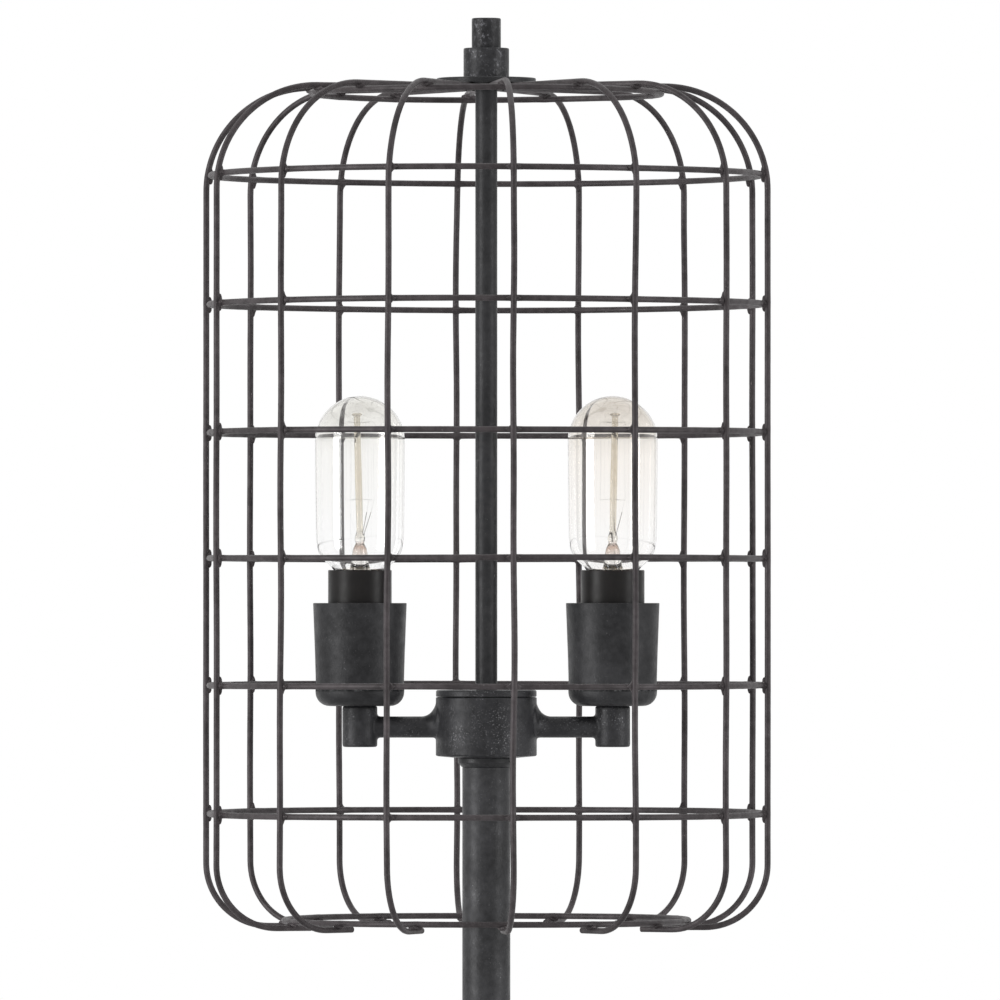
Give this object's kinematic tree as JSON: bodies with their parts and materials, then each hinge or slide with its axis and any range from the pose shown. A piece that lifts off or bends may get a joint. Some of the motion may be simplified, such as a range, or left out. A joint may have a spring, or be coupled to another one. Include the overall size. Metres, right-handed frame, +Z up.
{
  "type": "wire cage floor lamp",
  "caption": "Floor lamp with an open cylindrical wire cage round two upright tubular bulbs on a straight pole and round weighted base.",
  "frame": {"origin": "centre of the base pad's underside, on the floor", "axes": "+Z up along the pole, the two bulbs stand apart along X, -Y faces the viewer"},
  "size_m": [0.284, 0.2846, 1.55],
  "materials": {
    "foam_pad": "black foam pad under the base",
    "cast_iron_base": "dark graphite textured coat on cast iron",
    "iron_finish": "dark graphite textured coat, mottled with pale grey flecks",
    "cage_wire": "dark graphite textured coat on steel wire",
    "black_rubber": "moulded black bushing",
    "zinc_steel": "zinc plated steel",
    "black_phenolic": "satin black moulding",
    "brass": "plain brass",
    "bulb_glass": "clear glass with a light champagne tint",
    "stem_glass": "clear glass",
    "nickel_cap": "nickel plated brass",
    "solder_contact": "black glass insulator with a solder contact",
    "filament_wire": "fine bare wire"
  },
  "bodies": {
    "stand": {"base_casting": "cast_iron_base", "base_flange": "iron_finish", "base_pad": "foam_pad", "centre_tongue_left": "brass", "centre_tongue_right": "brass", "cluster_casting": "iron_finish", "cluster_lid": "iron_finish", "cord_bushing": "black_rubber", "lock_nuts": "zinc_steel", "neck_collar": "iron_finish", "pole_inserts": "zinc_steel", "pole_lower": "iron_finish", "pole_upper": "iron_finish", "rod_coupling": "zinc_steel", "screw_shell_left": "brass", "screw_shell_right": "brass", "socket_body_left": "black_phenolic", "socket_body_right": "black_phenolic", "socket_cup_left": "iron_finish", "socket_cup_right": "iron_finish", "threaded_nipples": "zinc_steel", "upper_rod": "iron_finish"},
    "cage": {"cage_bottom_ring": "cage_wire", "cage_disc": "iron_finish", "cage_rib_01": "cage_wire", "cage_rib_02": "cage_wire", "cage_rib_03": "cage_wire", "cage_rib_04": "cage_wire", "cage_rib_05": "cage_wire", "cage_rib_06": "cage_wire", "cage_rib_07": "cage_wire", "cage_rib_08": "cage_wire", "cage_rib_09": "cage_wire", "cage_rib_10": "cage_wire", "cage_rib_11": "cage_wire", "cage_rib_12": "cage_wire", "cage_rib_13": "cage_wire", "cage_rib_14": "cage_wire", "cage_ring_1": "cage_wire", "cage_ring_2": "cage_wire", "cage_ring_3": "cage_wire", "cage_ring_4": "cage_wire", "cage_ring_5": "cage_wire", "cage_ring_6": "cage_wire", "cage_top_ring": "cage_wire"},
    "finial": {"finial_collar": "iron_finish", "finial_knob": "iron_finish"},
    "bulb_left": {"bulb_left_cap": "nickel_cap", "bulb_left_contact": "solder_contact", "bulb_left_filament": "filament_wire", "bulb_left_glass": "bulb_glass", "bulb_left_stem": "stem_glass"},
    "bulb_right": {"bulb_right_cap": "nickel_cap", "bulb_right_contact": "solder_contact", "bulb_right_filament": "filament_wire", "bulb_right_glass": "bulb_glass", "bulb_right_stem": "stem_glass"}
  },
  "joints": [
    {"name": "cage_lift", "type": "slide", "parent": "stand", "child": "cage", "axis": [0, 0, 1], "range_m": [0, 0.44]},
    {"name": "finial_turn", "type": "hinge", "parent": "cage", "child": "finial", "pos_m": [0, 0, 1.52], "axis": [0, 0, 1], "range_deg": [0, 3150]},
    {"name": "bulb_left_turn", "type": "hinge", "parent": "stand", "child": "bulb_left", "pos_m": [-0.0632, 0, 1.251], "axis": [0, 0, 1], "range_deg": [0, 1350]},
    {"name": "bulb_right_turn", "type": "hinge", "parent": "stand", "child": "bulb_right", "pos_m": [0.0632, 0, 1.251], "axis": [0, 0, 1], "range_deg": [0, 1350]}
  ]
}
